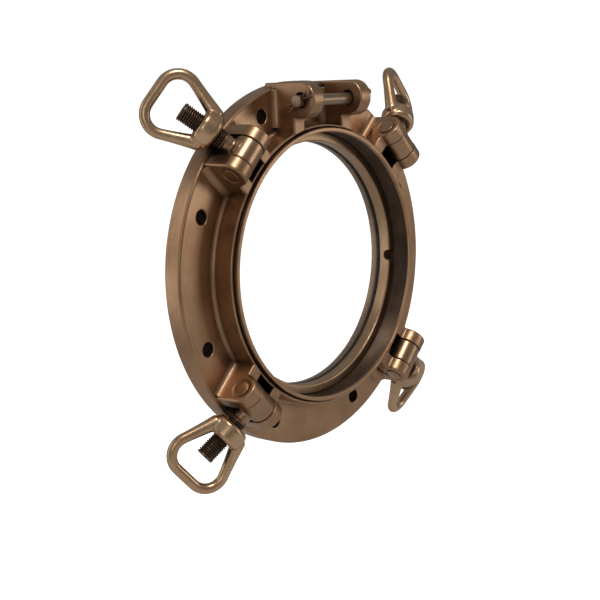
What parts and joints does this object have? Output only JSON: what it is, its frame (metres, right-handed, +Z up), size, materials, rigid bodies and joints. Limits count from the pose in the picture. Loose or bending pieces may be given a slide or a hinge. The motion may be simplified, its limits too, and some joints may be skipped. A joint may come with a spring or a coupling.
{
  "type": "porthole frame",
  "caption": "Round bronze ship's window frame with a screwed-in pane, swing bolts with loop nuts, and hinge lugs for an opening sash.",
  "frame": {"origin": "centre of the flange's back face, in the middle of the screw circle", "axes": "+Z up towards the hinge, +Y into the wall along the window's axis, +X to the right seen from the front"},
  "size_m": [0.3953, 0.0892, 0.3998],
  "materials": {
    "cast_bronze": "antique bronze, satin, brushed",
    "turned_bronze": "antique bronze, turned",
    "nut_bronze": "antique bronze, polished by hand",
    "bolt_bronze": "dark bronze, threaded",
    "pin_bronze": "dark bronze, satin",
    "cotter_wire": "dark wire",
    "glass": "clear float glass",
    "rubber": "black glazing rubber"
  },
  "bodies": {
    "frame": {"main_frame": "cast_bronze", "glass_pane": "glass", "glazing_gasket": "rubber", "retaining_ring": "turned_bronze", "pivot_pin_upper_right": "pin_bronze", "pivot_pin_upper_left": "pin_bronze", "pivot_pin_lower_left": "pin_bronze", "pivot_pin_lower_right": "pin_bronze"},
    "bolt_upper_right": {"swing_bolt_upper_right": "bolt_bronze"},
    "nut_upper_right": {"loop_nut_upper_right": "nut_bronze"},
    "bolt_upper_left": {"swing_bolt_upper_left": "bolt_bronze"},
    "nut_upper_left": {"loop_nut_upper_left": "nut_bronze"},
    "bolt_lower_left": {"swing_bolt_lower_left": "bolt_bronze"},
    "nut_lower_left": {"loop_nut_lower_left": "nut_bronze"},
    "bolt_lower_right": {"swing_bolt_lower_right": "bolt_bronze"},
    "nut_lower_right": {"loop_nut_lower_right": "nut_bronze"},
    "hinge_pin": {"hinge_pin": "pin_bronze", "hinge_cotter_left": "cotter_wire", "hinge_cotter_right": "cotter_wire"}
  },
  "joints": [
    {"name": "swing_upper_right", "type": "hinge", "parent": "frame", "child": "bolt_upper_right", "pos_m": [0.11883, -0.044, 0.11375], "axis": [0.6915, 0, -0.7224], "range_deg": [-0.5, 166.5]},
    {"name": "nut_turn_upper_right", "type": "hinge", "parent": "bolt_upper_right", "child": "nut_upper_right", "pos_m": [0.11883, -0.044, 0.11375], "axis": [0.6465, 0.4462, 0.6189], "continuous": true},
    {"name": "swing_upper_left", "type": "hinge", "parent": "frame", "child": "bolt_upper_left", "pos_m": [-0.1153, -0.044, 0.11733], "axis": [0.7133, 0, 0.7009], "range_deg": [-0.5, 171.5]},
    {"name": "nut_turn_upper_left", "type": "hinge", "parent": "bolt_upper_left", "child": "nut_upper_left", "pos_m": [-0.1153, -0.044, 0.11733], "axis": [-0.5976, 0.5225, 0.6081], "continuous": true},
    {"name": "swing_lower_left", "type": "hinge", "parent": "frame", "child": "bolt_lower_left", "pos_m": [-0.1153, -0.044, -0.11733], "axis": [-0.7133, 0, 0.7009], "range_deg": [-4.5, 162.5]},
    {"name": "nut_turn_lower_left", "type": "hinge", "parent": "bolt_lower_left", "child": "nut_lower_left", "pos_m": [-0.1153, -0.044, -0.11733], "axis": [-0.6476, 0.3827, -0.659], "continuous": true},
    {"name": "swing_lower_right", "type": "hinge", "parent": "frame", "child": "bolt_lower_right", "pos_m": [0.11883, -0.044, -0.11375], "axis": [-0.6915, 0, -0.7224], "range_deg": [-2, 166]},
    {"name": "nut_turn_lower_right", "type": "hinge", "parent": "bolt_lower_right", "child": "nut_lower_right", "pos_m": [0.11883, -0.044, -0.11375], "axis": [0.6493, 0.4384, -0.6215], "continuous": true},
    {"name": "hinge_pin_turn", "type": "hinge", "parent": "frame", "child": "hinge_pin", "pos_m": [0, -0.053, 0.16365], "axis": [1, 0, 0], "continuous": true}
  ]
}
